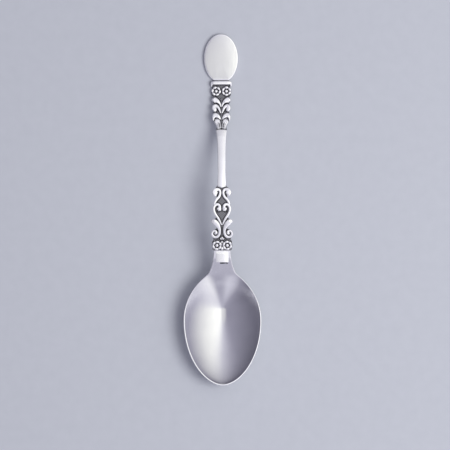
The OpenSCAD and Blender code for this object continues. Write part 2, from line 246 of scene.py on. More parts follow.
def bowl_point(turn, ring):
    """Rings run from the hollow's deepest point to the rim, over it and back underneath."""
    if ring <= inner_rings:
        reach = 1 - (1 - ring / inner_rings) ** ring_spread
        x, y = bowl_outline(turn, rim_width)
        x, y = reach * x, y_deep + reach * (y - y_deep)
        half = half_at(y, rim_width)
        return on_arch(x, y, -depth_at(y) * hollow(x / half if half > 0 else 1))
    ring -= inner_rings + 1
    if ring < len(rim_profile):
        inset, drop = rim_profile[ring]
        x, y = bowl_outline(turn, inset)
        return on_arch(x, y, -drop)
    x, y = bowl_outline(turn, 0)
    reach = underside_share * (1 - ((ring - len(rim_profile)) / outer_rings) ** ring_spread)
    x, y = reach * x, y_deep + reach * (y - y_deep)
    half = half_at(y, 0)
    belly = depth_at(y) + bowl_sheet - rim_edge
    return on_arch(x, y, -rim_edge - belly * hollow(x / half if half > 0 else 1))


# Painted shadow: a broken black line painted on the neck under the tongue's end, where the tongue's step
# casts its shade: middle and reach on each axis, in metres
painted_seam_shadow_box = (
    ("X", 0.0008, 0.0018),
    ("Y", y_tongue / 1000 - 0.0005, 0.0006),
    ("Z", seat_height(y_tongue) / 1000, 0.0006),
)
# The painted shadow's soft edge, the size and span of the noise that breaks it into dashes, and its black,
# which the relief's patina shares
painted_seam_shadow_soft = 0.0002
shadow_break_scale = 900
shadow_break_span = (0.35, 0.4)
patina_and_painted_shadow_black = (0.02, 0.02, 0.023, 1)


def painted_seam_shadow_silver():
    """The bowl's polished silver, with a broken black line of painted shadow in the seam at the end of the
    stem's tongue.
    """
    material = polished_silver("bowl_silver_painted_seam_shadow", bright=(0.93, 0.93, 0.94, 1), handled=(0.88, 0.88, 0.9, 1),
                               smoothest=0.1, roughest=0.2)
    nodes = material.node_tree.nodes
    links = material.node_tree.links
    shader = nodes["Principled BSDF"]
    bare_tone = shader.inputs["Base Color"].links[0].from_socket
    place = nodes.new("ShaderNodeTexCoord")
    sides = nodes.new("ShaderNodeSeparateXYZ")
    links.new(place.outputs["Object"], sides.inputs["Vector"])
    shadow_breaks = nodes.new("ShaderNodeTexNoise")
    shadow_breaks.inputs["Scale"].default_value = shadow_break_scale
    links.new(place.outputs["Object"], shadow_breaks.inputs["Vector"])
    broken = nodes.new("ShaderNodeMapRange")
    broken.inputs["From Min"].default_value = shadow_break_span[0]
    broken.inputs["From Max"].default_value = shadow_break_span[1]
    links.new(shadow_breaks.outputs["Fac"], broken.inputs["Value"])
    black = broken.outputs["Result"]
    for axis, middle, reach in painted_seam_shadow_box:
        aside = nodes.new("ShaderNodeMath")
        aside.operation = "SUBTRACT"
        aside.inputs[1].default_value = middle
        links.new(sides.outputs[axis], aside.inputs[0])
        off = nodes.new("ShaderNodeMath")
        off.operation = "ABSOLUTE"
        links.new(aside.outputs["Value"], off.inputs[0])
        inside = nodes.new("ShaderNodeMapRange")
        inside.inputs["From Min"].default_value = reach
        inside.inputs["From Max"].default_value = reach - painted_seam_shadow_soft
        links.new(off.outputs["Value"], inside.inputs["Value"])
        both = nodes.new("ShaderNodeMath")
        both.operation = "MULTIPLY"
        links.new(black, both.inputs[0])
        links.new(inside.outputs["Result"], both.inputs[1])
        black = both.outputs["Value"]
    # The painted shadow, mixed into the bare silver
    tone = nodes.new("ShaderNodeMix")
    tone.data_type = "RGBA"
    tone.inputs["B"].default_value = patina_and_painted_shadow_black
    links.new(black, tone.inputs["Factor"])
    links.new(bare_tone, tone.inputs["A"])
    links.new(tone.outputs["Result"], shader.inputs["Base Color"])
    return material


bowl_mesh = spun_skin(bowl_rays, inner_rings + len(rim_profile) + outer_rings + 2, bowl_point)
bowl = laid_in(bowl_mesh, "raised_bowl", painted_seam_shadow_silver())
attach(bowl, "root")
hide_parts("bowl")


# The stem
# A strip forged from bar and sawn to the ornament's outline. Its tongue is lapped on the neck and soldered.
# The front is chased with cross-hatching wherever the ornament leaves its ground open.
strip_thick = 1.1
tongue_width = 5.4
tongue_rise = 0.85
tongue_crown = 0.12
crown_start = 0.25
band_width = 8.5
scroll_width = 9.2
shank_width = 3.4
leaf_width = 7.8
rosette_span = 8.4
collar_width = 8.7
ground_margin = 0.28
margin_fade = 0.4
file_reach = 0.12
strip_bevel = 0.1
sharp_edge = math.radians(50)
midrib_half = 0.24
midrib_rise = 0.3
tab_width = 2.6
y_scroll = -12.6
y_shank = 9.0
y_leaf = 34.2
y_field = 47.5
y_collar = 53.3
y_tab = 54.97
band_length = y_scroll - y_band
scroll_length = y_shank - y_scroll
shank_length = y_leaf - y_shank
leaf_length = y_field - y_leaf
field_length = y_collar - y_field
collar_length = y_tab - y_collar
strip_columns = 36
strip_rows = 420

# Each stretch: where it starts, its length, its half-width, and shares of these along its outline
strip_stretches = (
    (y_tongue, y_band - y_tongue, tongue_width / 2, ((0, 1), (0.98, 1))),
    (y_band, band_length, band_width / 2, (
        (0.02, 0.8), (0.15, 0.9), (0.5, 0.96), (0.85, 0.9), (0.98, 0.8))),
    (y_scroll, scroll_length, scroll_width / 2, (
        (0.01, 0.7), (0.03, 0.78), (0.075, 0.9), (0.12, 0.94), (0.165, 0.86), (0.195, 0.57), (0.22, 0.39),
        (0.26, 0.48), (0.305, 0.72), (0.343, 0.93), (0.375, 0.88), (0.4, 0.6), (0.42, 0.48), (0.47, 0.57),
        (0.54, 0.72), (0.6, 0.77), (0.66, 0.73), (0.7, 0.7), (0.73, 0.63), (0.78, 0.48), (0.81, 0.36),
        (0.84, 0.57), (0.87, 0.67), (0.92, 0.71), (0.963, 0.69), (0.99, 0.62))),
    (y_shank, shank_length, shank_width / 2, (
        (0.012, 1.45), (0.024, 1.2), (0.036, 1.07), (0.0675, 1.06), (0.16, 0.99), (0.26, 0.96), (0.47, 1),
        (0.675, 1.02), (0.81, 1.14), (0.917, 1.28), (0.972, 1.38), (0.99, 1.38))),
    (y_leaf, leaf_length, leaf_width / 2, (
        (0.01, 0.47), (0.065, 0.45), (0.173, 0.62), (0.25, 0.74), (0.32, 0.87), (0.42, 0.9), (0.526, 0.74),
        (0.57, 0.77), (0.647, 0.87), (0.73, 0.92), (0.805, 0.77), (0.85, 0.82), (0.91, 0.92),
        (0.977, 0.74))),
    (y_field, field_length, rosette_span / 2, (
        (0.07, 0.75), (0.2, 0.87), (0.46, 0.95), (0.7, 0.87), (0.86, 0.82), (0.97, 0.95))),
    (y_collar, collar_length, collar_width / 2, ((0.05, 0.94), (0.95, 0.94))),
    (y_tab, y_plaque - y_tab, tab_width / 2, ((0.1, 1), (1, 1))),
)
strip_outline = [(start + share * length, half_share * half)
                 for start, length, half, shares in strip_stretches for share, half_share in shares]


def along_outline(outline, place):
    """The half-width or rise at a place along an outline of (place, half-width or rise) points."""
    for (place0, size0), (place1, size1) in zip(outline, outline[1:]):
        if place <= place1:
            return size0 + (size1 - size0) * max(0, place - place0) / (place1 - place0)
    return outline[-1][1]


def strip_half(y):
    """The strip's half-width, with its corners filed soft and a margin of ground round the ornament."""
    strokes = (-2, -1, 0, 1, 2)
    half = sum(along_outline(strip_outline, y + stroke * file_reach) for stroke in strokes) / len(strokes)
    for low, high in ((y_band, y_shank), (y_leaf, y_collar)):
        half += ground_margin * min(1, max(0, (y - low) / margin_fade), max(0, (high - y) / margin_fade))
    return half


# The hatching's lean, closeness, wobble and tones, and how the polish turns black ground to bare silver
hatch_leans = (math.radians(40), math.radians(-40))
hatch_scale = 560
hatch_wobble = 1.2
cut_dark = (0.12, 0.12, 0.13, 1)
cut_light = (0.55, 0.55, 0.57, 1)
ground_black = (0.012, 0.012, 0.014, 1)
black_span = (0.08, 0.48)
bare_span = (0.55, 0.8)
ground_roughness = 0.5


def hatched_silver():
    """Bare silver that turns to hatched ground, and to black beside the ornament, by the strip's polish."""
    material = polished_silver("stem_silver", bright=(0.92, 0.92, 0.93, 1), handled=(0.87, 0.87, 0.88, 1),
                               smoothest=0.12, roughest=0.22)
    nodes = material.node_tree.nodes
    links = material.node_tree.links
    shader = nodes["Principled BSDF"]
    bare_tone = shader.inputs["Base Color"].links[0].from_socket
    bare_polish = shader.inputs["Roughness"].links[0].from_socket
    polish = nodes.new("ShaderNodeAttribute")
    polish.attribute_name = "polish"
    place = nodes.new("ShaderNodeTexCoord")
    lines = []
    for lean in hatch_leans:
        turn = nodes.new("ShaderNodeMapping")
        turn.inputs["Rotation"].default_value = (0, 0, lean)
        links.new(place.outputs["Object"], turn.inputs["Vector"])
        cuts = nodes.new("ShaderNodeTexWave")
        cuts.inputs["Scale"].default_value = hatch_scale
        cuts.inputs["Distortion"].default_value = hatch_wobble
        links.new(turn.outputs["Vector"], cuts.inputs["Vector"])
        lines.append(cuts)
    crossing = nodes.new("ShaderNodeMath")
    crossing.operation = "MULTIPLY"
    links.new(lines[0].outputs["Fac"], crossing.inputs[0])
    links.new(lines[1].outputs["Fac"], crossing.inputs[1])
    hatch = nodes.new("ShaderNodeValToRGB")
    hatch.color_ramp.elements[0].color = cut_dark
    hatch.color_ramp.elements[1].color = cut_light
    links.new(crossing.outputs["Value"], hatch.inputs["Fac"])
    recess = nodes.new("ShaderNodeMapRange")
    recess.inputs["From Min"].default_value = black_span[0]
    recess.inputs["From Max"].default_value = black_span[1]
    links.new(polish.outputs["Fac"], recess.inputs["Value"])
    ground = nodes.new("ShaderNodeMix")
    ground.data_type = "RGBA"
    ground.inputs["A"].default_value = ground_black
    links.new(recess.outputs["Result"], ground.inputs["Factor"])
    links.new(hatch.outputs["Color"], ground.inputs["B"])
    bare = nodes.new("ShaderNodeMapRange")
    bare.inputs["From Min"].default_value = bare_span[0]
    bare.inputs["From Max"].default_value = bare_span[1]
    links.new(polish.outputs["Fac"], bare.inputs["Value"])
    tone = nodes.new("ShaderNodeMix")
    tone.data_type = "RGBA"
    links.new(bare.outputs["Result"], tone.inputs["Factor"])
    links.new(ground.outputs["Result"], tone.inputs["A"])
    links.new(bare_tone, tone.inputs["B"])
    links.new(tone.outputs["Result"], shader.inputs["Base Color"])
    dulling = nodes.new("ShaderNodeMix")
    dulling.inputs["A"].default_value = ground_roughness
    links.new(bare.outputs["Result"], dulling.inputs["Factor"])
    links.new(bare_polish, dulling.inputs["B"])
    links.new(dulling.outputs["Result"], shader.inputs["Roughness"])
    return material


strip_mesh = bmesh.new()
bmesh.ops.create_grid(strip_mesh, x_segments=strip_columns, y_segments=strip_rows, size=1)
extruded = bmesh.ops.extrude_face_region(strip_mesh, geom=strip_mesh.faces[:])["geom"]
front_points = [g for g in extruded if isinstance(g, bmesh.types.BMVert)]
bmesh.ops.translate(strip_mesh, vec=(0, 0, 1), verts=front_points)
polish_of = strip_mesh.verts.layers.float.new("polish")
for v in strip_mesh.verts:
    y = y_tongue + (v.co.y + 1) / 2 * (y_plaque - y_tongue)
    v[polish_of] = 1
    wedge = max(0, (y_band - y) / (y_band - y_tongue))
    crown = tongue_crown * min(1, wedge / crown_start) * (1 - v.co.x ** 2)
    front = strip_thick + tongue_rise * wedge + crown
    x = v.co.x * strip_half(y)
    if y_leaf < y < y_field:
        front += midrib_rise * max(0, 1 - abs(x) / midrib_half)
    v.co = on_arch(x, y, front * v.co.z)
bmesh.ops.recalc_face_normals(strip_mesh, faces=strip_mesh.faces[:])
strip_edges = [e for e in strip_mesh.edges if e.calc_face_angle(0) > sharp_edge]
bmesh.ops.bevel(strip_mesh, geom=strip_edges, offset=strip_bevel, offset_type="OFFSET", segments=2,
                profile=0.5, affect="EDGES", material=-1, clamp_overlap=True)
strip = laid_in(strip_mesh, "stem_strip", hatched_silver())
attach(strip, "root")
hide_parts("stem")


# The shank
# The bare middle of the stem, forged to a bar with a low crown and filed corners, bright all round.
# It swells to a square shoulder under the leaves and comes to a point between the upper scrolls.
shank_rise = 1.0
shank_back = 0.5
shank_crown = 0.35
shank_rays = 48
shank_rings = 260
corner_power = 16
# Place along the shank, share of its half-width, share of its rise
shank_form = (
    (-0.018, 0, 0.1), (-0.012, 0.1, 0.5), (-0.004, 0.22, 0.85), (0.004, 0.44, 0.95), (0.009, 0.74, 0.98),
    (0.014, 1.04, 1), (0.07, 1.08, 1), (0.16, 1.02, 1), (0.26, 0.99, 1), (0.47, 1.02, 1), (0.64, 1.04, 1),
    (0.73, 1.08, 1), (0.81, 1.16, 1), (0.87, 1.24, 1), (0.91, 1.32, 1), (0.955, 1.42, 0.97),
    (0.968, 1.42, 0.9), (0.977, 1.3, 0.6), (0.982, 0.85, 0.2))
shank_halves = [(place, half) for place, half, rise in shank_form]
shank_rises = [(place, rise) for place, half, rise in shank_form]


def shank_section(angle):
    """Across and up on a flat section with filed corners, with most of its points at the corners."""
    across = math.copysign(math.sqrt(abs(math.cos(angle))), math.cos(angle))
    up = math.copysign((1 - abs(across) ** corner_power) ** (1 / corner_power), math.sin(angle))
    return across, up


def shank_half(share):
    """Half the shank's width at a share of its length."""
    return along_outline(shank_halves, share) * shank_width / 2


def shank_point(turn, ring):
    """Rings run from the point to the shoulder, each with a low crown in front and a flatter back."""
    share = shank_form[0][0] + (shank_form[-1][0] - shank_form[0][0]) * ring / (shank_rings - 1)
    y = y_shank + share * shank_length
    high = along_outline(shank_rises, share)
    half = 0 if ring in (0, shank_rings - 1) else shank_half(share)
    across, up = shank_section(turn * math.tau)
    tall = strip_thick / 2 + high * (shank_rise if up > 0 else shank_back)
    crown = shank_crown * across ** 2 if up > 0 else 0
    return on_arch(half * across, y, strip_thick / 2 + (tall * up - crown) * (0 if half == 0 else 1))


shank_mesh = spun_skin(shank_rays, shank_rings, shank_point)
shank_silver = polished_silver("shank_silver", bright=(0.93, 0.93, 0.94, 1), handled=(0.89, 0.89, 0.9, 1),
                               smoothest=0.1, roughest=0.18)
shank = laid_in(shank_mesh, "shank_bar", shank_silver)
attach(shank, "root")
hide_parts("stem")


# The scrolls
# Half-round silver wire, swaged and bent to S, heart and leaf scrolls, and soldered in pairs at the crest.
# The ends swell to drops and volutes, and polishing has taken the black off all but the foot of the wire.
wire_width = 1.12
wire_height = 0.55
wire_square = 0.5
wire_rays = 28
widest_swell = 2
foot_sink = 0.12
# Where ornament covers the strip: across, along, and how far it reaches
soldered = []
# Two flutes at the foot of a leaf, in shares of its half-width and length, the outer one shallower
fluted_rays = 240
flute_aside = 0.33
flute_half = 0.19
flute_middle = 0.24
flute_reach = 0.27
outer_flute = 0.6
foot_cut = 0.03

# Centre lines of the right-hand scrolls: share of the half-width, share of the length, width in wires
scroll_lines = {
    "s_scroll": (
        (0.72, 0.68, 0.6), (0.62, 0.73, 0.95), (0.46, 0.78, 1), (0.27, 0.82, 1), (0.17, 0.866, 0.95),
        (0.14, 0.91, 0.9), (0.2, 0.948, 1), (0.36, 0.966, 1.15), (0.555, 0.952, 1.65), (0.63, 0.91, 2.3),
        (0.6, 0.868, 1.7), (0.53, 0.835, 0.4)),
    "heart_scroll": (
        (0.06, 0.292, 0.5), (0.163, 0.347, 0.7), (0.348, 0.417, 0.95), (0.565, 0.481, 1),
        (0.707, 0.546, 0.95), (0.743, 0.606, 1), (0.641, 0.657, 1), (0.424, 0.681, 1.05),
        (0.228, 0.66, 1.1), (0.207, 0.618, 1.35), (0.26, 0.588, 1.95), (0.305, 0.567, 1.4),
        (0.33, 0.555, 0.4)),
    "leaf_scroll": (
        (0.84, 0.357, 1.55), (0.74, 0.351, 1.95), (0.598, 0.329, 2.15), (0.402, 0.285, 1.9),
        (0.272, 0.227, 1.4), (0.217, 0.167, 1.05), (0.261, 0.106, 1.05), (0.424, 0.0625, 1.05),
        (0.652, 0.051, 1), (0.859, 0.079, 0.95), (0.913, 0.127, 0.9), (0.783, 0.169, 0.8),
        (0.598, 0.166, 0.9), (0.56, 0.135, 1.3), (0.62, 0.12, 0.9)),
}


def squared_round(angle, square):
    """Across and up on a round section that is squared off: a square of 1 is round, and less is flatter."""
    across = math.copysign(abs(math.cos(angle)) ** square, math.cos(angle))
    up = math.copysign(abs(math.sin(angle)) ** square, math.sin(angle))
    return across, up


def placed(line, half, start, length, unit):
    """Shares of a stretch turned into places: across, along, and the width."""
    return [Vector((x * half, start + y * length, width * unit)) for x, y, width in line]


def smoothed(points, steps=7):
    """A smooth curve through points of (x, y, width)."""
    ends = [points[0]] + points + [points[-1]]
    curve = []
    for a, b, c, d in zip(ends, ends[1:], ends[2:], ends[3:]):
        for step in range(steps):
            t = step / steps
            curve.append(b + t / 2 * (c - a + t * (2 * a - 5 * b + 4 * c - d + t * (3 * (b - c) + d - a))))
    return curve + [points[-1]]


def half_round(points, unit, height, flutes=0.0, square=wire_square):
    """A half-round wire or leaf along (x, y, width) points on the strip, with round ends and any flutes."""
    stations = []
    for i, point in enumerate(points):
        step = points[min(i + 1, len(points) - 1)] - points[max(i - 1, 0)]
        along = Vector((step.x, step.y)).normalized()
        rise = height * math.sqrt(min(point.z / unit, widest_swell))
        stations.append((Vector((point.x, point.y)), along, point.z, rise, i / len(points)))
        soldered.append((point.x, point.y, point.z / 2))
    for end, way in ((0, -1), (-1, 1)):
        middle, along, width, rise, share = stations[end]
        for round_off in (30, 60, 90):
            out = width / 2 * math.sin(math.radians(round_off))
            thin = math.cos(math.radians(round_off))
            tip = (middle + way * out * along, along, width * thin, rise * math.sqrt(max(0, thin)), share)
            if way < 0:
                stations.insert(0, tip)
            else:
                stations.append(tip)

    def groove_at(across, share):
        """How far the section is cut down, in a flute or at the very foot."""
        beside = abs(abs(across) - flute_aside) / flute_half
        beyond = abs(share - flute_middle) / flute_reach
        flute = max(0, 1 - beside) * min(1, 2 * max(0, 1 - beyond))
        return flutes * max(flute * (1 if across > 0 else outer_flute), 1 - share / foot_cut)

    def wire_point(turn, ring):
        """Rings run along the wire, each a squared half-round with its foot just in the strip."""
        middle, along, width, rise, share = stations[ring]
        across, up = squared_round(turn * math.tau, square)
        groove = groove_at(across, share)
        x = middle.x - along.y * across * width / 2
        y = middle.y + along.x * across * width / 2
        return on_arch(x, y, strip_thick + (rise * up * (1 - groove) if up > 0 else foot_sink * up))

    bm = spun_skin(fluted_rays if flutes else wire_rays, len(stations), wire_point)
    rise_of = bm.verts.layers.float.new("rise")
    for v in bm.verts:
        across, up = squared_round(v[bm.verts.layers.float["turn"]] * math.tau, square)
        share = stations[v[bm.verts.layers.int["ring"]]][4]
        v[rise_of] = max(0, up) * (1 - groove_at(across, share)) ** 2
    return bm


def mirrored(bm):
    """The left-hand twin of a right-hand piece."""
    bmesh.ops.scale(bm, vec=(-1, 1, 1), verts=bm.verts[:])
    bmesh.ops.recalc_face_normals(bm, faces=bm.faces[:])
    return bm


def relief_silver(name, foot_black, bare_from):
    """Polished relief whose foot keeps the black of the recesses."""
    material = polished_silver(name, bright=(0.95, 0.95, 0.96, 1), handled=(0.9, 0.9, 0.91, 1),
                               smoothest=0.14, roughest=0.26)
    nodes = material.node_tree.nodes
    links = material.node_tree.links
    shader = nodes["Principled BSDF"]
    bare_tone = shader.inputs["Base Color"].links[0].from_socket
    rise = nodes.new("ShaderNodeAttribute")
    rise.attribute_name = "rise"
    bared = nodes.new("ShaderNodeMapRange")
    bared.inputs["From Min"].default_value = foot_black
    bared.inputs["From Max"].default_value = bare_from
    links.new(rise.outputs["Fac"], bared.inputs["Value"])
    tone = nodes.new("ShaderNodeMix")
    tone.data_type = "RGBA"
    tone.inputs["A"].default_value = patina_and_painted_shadow_black
    links.new(bared.outputs["Result"], tone.inputs["Factor"])
    links.new(bare_tone, tone.inputs["B"])
    links.new(tone.outputs["Result"], shader.inputs["Base Color"])
    return material


scroll_silver = relief_silver("scroll_silver", foot_black=0.1, bare_from=0.45)
for name, line in scroll_lines.items():
    for side in ("right", "left"):
        points = smoothed(placed(line, scroll_width / 2, y_scroll, scroll_length, wire_width))
        wire = half_round(points, wire_width, wire_height)
        if side == "left":
            wire = mirrored(wire)
        scroll = laid_in(wire, f"{name}_{side}_wire", scroll_silver)
        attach(scroll, "root")
        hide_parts(f"{name}_{side}")


# The bud, the sprig and the eyelet
# A three-lobed bud closes the scrolls at their foot, with a small ring under it.
# A sprig stands between the flowers below. All three are silver wire, formed and soldered on.
bud_line = (
    (-0.2, 0.016, 0.35), (-0.13, 0.019, 0.9), (-0.065, 0.024, 0.65), (0, 0.031, 1.3), (0.065, 0.024, 0.65),
    (0.13, 0.019, 0.9), (0.2, 0.016, 0.35))
sprig_line = ((0, 0.08, 0.4), (0, 0.17, 1.1), (0, 0.27, 0.9), (0, 0.38, 0.3))
eyelet_reach = 0.552
eyelet_wire = 0.22
eyelet_flat = 1.1
eyelet_rays = 16
eyelet_rings = 40
eyelet_spokes = 24
eyelet_cover = 0.4
eyelet_y = y_band + 0.79 * band_length


def eyelet_point(turn, ring):
    """Rings run round the eyelet, each a circle of its wire."""
    round_ring = ring / eyelet_rings * math.tau
    round_wire = turn * math.tau
    reach = eyelet_reach - eyelet_wire + eyelet_wire * math.cos(round_wire)
    x = reach * math.cos(round_ring)
    y = eyelet_y + reach * math.sin(round_ring)
    return on_arch(x, y, strip_thick + eyelet_flat * eyelet_wire * math.sin(round_wire))


bud_points = smoothed(placed(bud_line, scroll_width / 2, y_scroll, scroll_length, wire_width))
sprig_points = smoothed(placed(sprig_line, band_width / 2, y_band, band_length, wire_width))
small_pieces = {
    "bud": half_round(bud_points, wire_width, wire_height),
    "sprig": half_round(sprig_points, wire_width, wire_height),
    "eyelet": spun_skin(eyelet_rays, eyelet_rings + 1, eyelet_point),
}
eyelet_rise = small_pieces["eyelet"].verts.layers.float.new("rise")
for v in small_pieces["eyelet"].verts:
    v[eyelet_rise] = max(0, math.sin(v[small_pieces["eyelet"].verts.layers.float["turn"]] * math.tau))
for name, wire in small_pieces.items():
    small_piece = laid_in(wire, f"{name}_wire", scroll_silver)
    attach(small_piece, "root")
    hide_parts(name)
for spoke in range(eyelet_spokes):
    spoke_x = eyelet_cover * math.cos(spoke)
    spoke_y = eyelet_y + eyelet_cover * math.sin(spoke)
    soldered.append((spoke_x, spoke_y, eyelet_wire))


# The lower rosettes
# Two flowers of six fat petals, stamped from sheet and domed, with a bead soldered in the middle of each.
# They sit side by side on the band between the neck and the scrolls.
rosette_pitch = 4.4
petal_count = 6
petal_reach = 1.56
petal_long = 1.15
petal_wide = 1.85
petal_height = 0.55
petal_cover = 0.55
boss_square = 0.4
bead_width = 1.45
bead_height = 0.55
lower_turn = 30
lower_lean = 8
lower_y = y_band + 0.5 * band_length


def on_strip(x, y):
    """The turn and place that sits a small piece on the strip, square to it."""
    return Matrix.Translation(on_arch(x, y, strip_thick)) @ Matrix.Rotation(seat_angle(y), 4, "X")


def dome(bm, long, wide, high):
    """A domed boss about the origin, with its foot just under the strip's front."""
    boss = bmesh.ops.create_uvsphere(bm, u_segments=20, v_segments=12, radius=1)["verts"]
    for v in boss:
        v[bm.verts.layers.float["rise"]] = max(0, v.co.z)
        v.co.z = math.copysign(abs(v.co.z) ** boss_square, v.co.z)
    bmesh.ops.scale(bm, vec=(long / 2, wide / 2, high), verts=boss)
    for v in boss:
        v.co.z = max(v.co.z, -foot_sink)
    return boss


def rosette(x, y, first_petal):
    """A flower at x, y: petals bent to a ring about the place of the bead."""
    bm = bmesh.new()
    bm.verts.layers.float.new("rise")
    for petal in range(petal_count):
        boss = dome(bm, petal_long, petal_wide, petal_height)
        for v in boss:
            reach = petal_reach + v.co.x
            bend = v.co.y / petal_reach
            v.co.x = reach * math.cos(bend)
            v.co.y = reach * math.sin(bend)
        turned = Matrix.Rotation(first_petal + petal * math.tau / petal_count, 4, "Z")
        bmesh.ops.transform(bm, matrix=on_strip(x, y) @ turned, verts=boss)
        heart = turned @ Vector((petal_reach, 0, 0))
        soldered.append((x + heart.x, y + heart.y, petal_cover))
    soldered.append((x, y, bead_width / 2))
    return bm


def bead_pair(y):
    """The two beads in the middles of a pair of flowers."""
    bm = bmesh.new()
    bm.verts.layers.float.new("rise")
    for side in (-1, 1):
        bead = dome(bm, bead_width, bead_width, bead_height)
        bmesh.ops.transform(bm, matrix=on_strip(side * rosette_pitch / 2, y), verts=bead)
    return bm


petal_silver = relief_silver("petal_silver", foot_black=0.05, bare_from=0.4)
for side, way in (("left", -1), ("right", 1)):
    flower = laid_in(rosette(way * rosette_pitch / 2, lower_y, math.radians(lower_turn + lower_lean * way)),
                     f"lower_rosette_{side}_petals", petal_silver)
    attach(flower, "root")
    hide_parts(f"lower_rosette_{side}")
beads = laid_in(bead_pair(lower_y), "lower_bead_pair", petal_silver)
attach(beads, "root")
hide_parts("lower_beads")


# The leaf spray
# Four pairs of leaves that grow up the stem from two fluted cups over the shank's shoulder.
# They are cast, chased with flutes at the cups, and soldered on, with the ground left black between them.
rib_width = 0.85
leaf_height = 0.6
cup_flutes = 0.75
# Centre lines of the right-hand leaves: share of the half-width, share of the length, width in ribs
leaf_lines = {
    "cup_leaf": (
        (0.25, -0.015, 1.85), (0.31, 0.083, 2.4), (0.385, 0.152, 2.9), (0.465, 0.218, 3.15),
        (0.51, 0.25, 2.7), (0.535, 0.268, 1.6)),
    "third_leaf": (
        (0.13, 0.3, 0.7), (0.2, 0.334, 1.3), (0.295, 0.368, 1.75), (0.487, 0.41, 2.3), (0.67, 0.418, 2.75),
        (0.815, 0.378, 1.9), (0.877, 0.318, 1.15), (0.859, 0.265, 0.7)),
    "second_leaf": (
        (0.1, 0.505, 0.7), (0.175, 0.57, 1), (0.26, 0.635, 1.3), (0.37, 0.688, 1.5), (0.53, 0.726, 1.65),
        (0.69, 0.735, 1.85), (0.8, 0.695, 2.1), (0.785, 0.64, 2.4), (0.7, 0.592, 1.9)),
    "first_leaf": (
        (0.08, 0.717, 0.6), (0.13, 0.77, 0.95), (0.23, 0.832, 1.35), (0.45, 0.892, 2.35),
        (0.67, 0.923, 3.05), (0.8, 0.926, 3), (0.86, 0.926, 2)),
}
leaf_silver = relief_silver("leaf_silver", foot_black=0.08, bare_from=0.42)
for name, line in leaf_lines.items():
    for side in ("right", "left"):
        points = smoothed(placed(line, leaf_width / 2, y_leaf, leaf_length, rib_width))
        leaf = half_round(points, rib_width, leaf_height, flutes=cup_flutes if name == "cup_leaf" else 0)
        if side == "left":
            leaf = mirrored(leaf)
        spray = laid_in(leaf, f"{name}_{side}_blade", leaf_silver)
        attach(spray, "root")
        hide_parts(f"{name}_{side}")


# The upper rosettes
# The same stamped flowers of domed sheet as on the band, with the same beads in their middles.
# They are soldered side by side between the leaves and the collar.
upper_turn = 10
upper_lean = 20
upper_y = y_field + 0.51 * field_length
for side, way in (("left", -1), ("right", 1)):
    flower = laid_in(rosette(way * rosette_pitch / 2, upper_y, math.radians(upper_turn + upper_lean * way)),
                     f"upper_rosette_{side}_petals", petal_silver)
    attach(flower, "root")
    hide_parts(f"upper_rosette_{side}")
beads = laid_in(bead_pair(upper_y), "upper_bead_pair", petal_silver)
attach(beads, "root")
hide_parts("upper_beads")


# The collar
# A heavy half-round bar of silver, bent and soldered across the stem.
# It is filed to a taper at both ends, which hook down over the rosettes.
collar_height = 0.9
collar_square = 0.22
collar_line = (
    (-0.955, -0.4, 0.3), (-0.93, 0.05, 0.5), (-0.8, 0.45, 0.92), (0, 0.5, 1), (0.8, 0.45, 0.92),
    (0.93, 0.05, 0.5), (0.955, -0.4, 0.3))
collar_points = smoothed(placed(collar_line, collar_width / 2, y_collar, collar_length, collar_length))
collar_silver = relief_silver("collar_silver", foot_black=0.05, bare_from=0.35)
collar_mesh = half_round(collar_points, collar_length, collar_height, square=collar_square)
collar = laid_in(collar_mesh, "collar_bar", collar_silver)
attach(collar, "root")
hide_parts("collar")


# The plaque
# A thick oval of plate silver, cut straight where it butts against the stem and soldered there.
# Its front is very slightly domed from polishing, and its edge is rounded over.
plaque_width = 14.7
plaque_length = 19.95
plaque_sheet = 1.7
plaque_round = 0.42
plaque_dome = 0.15
dome_power = 2.5
joint_width = 6.4
solder_seam = 0.02
cut_angle = math.asin(joint_width / plaque_width)
plaque_half = plaque_length / (1 + math.cos(cut_angle))
plaque_middle = y_plaque + solder_seam + plaque_half * math.cos(cut_angle)
plaque_rays = 180
plaque_rings = 24
# The edge, from the front's edge to the back's: how far in from the outline, and how high
plaque_edge = [(plaque_round * (1 - math.sin(math.radians(turn))),
                plaque_sheet - plaque_dome - plaque_round * (1 - math.cos(math.radians(turn))))
               for turn in (20, 40, 60, 75, 90)] + [(0.0, 0.15), (0.04, 0.04), (0.15, 0.0)]


def plaque_point(turn, ring):
    """Rings run from the middle of the front to the edge, and back over the flat back."""
    angle = math.pi / 2 - turn * math.tau
    reach = 1
    if ring <= plaque_rings:
        inset = plaque_round
        reach = ring / plaque_rings
        height = plaque_sheet - plaque_dome * reach ** dome_power
    elif ring <= plaque_rings + len(plaque_edge):
        inset, height = plaque_edge[ring - plaque_rings - 1]
    else:
        inset, height = plaque_edge[-1]
        reach = (2 * plaque_rings + len(plaque_edge) - ring) / plaque_rings
    x = (plaque_width / 2 - inset) * math.cos(angle)
    y = max((plaque_half - inset) * math.sin(angle), inset - plaque_half * math.cos(cut_angle))
    return Vector((reach * x, plaque_middle + reach * y, height))


plaque_mesh = spun_skin(plaque_rays, 2 * plaque_rings + len(plaque_edge) + 1, plaque_point)
plaque_silver = polished_silver("plaque_silver", bright=(0.92, 0.92, 0.93, 1),
                                handled=(0.88, 0.88, 0.89, 1), smoothest=0.12, roughest=0.22)
plaque = laid_in(plaque_mesh, "oval_plaque", plaque_silver)
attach(plaque, "root")
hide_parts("plaque")


# The blackened ground
# The soldered stem is dipped to blacken it, and polishing then leaves the black only beside the ornament.
# Open ground comes up grey, and the tongue, the sides and the back come up bright again.
black_reach = 0.55
nearest_places = 8
open_ground = 0.5
midrib_polish = 0.8
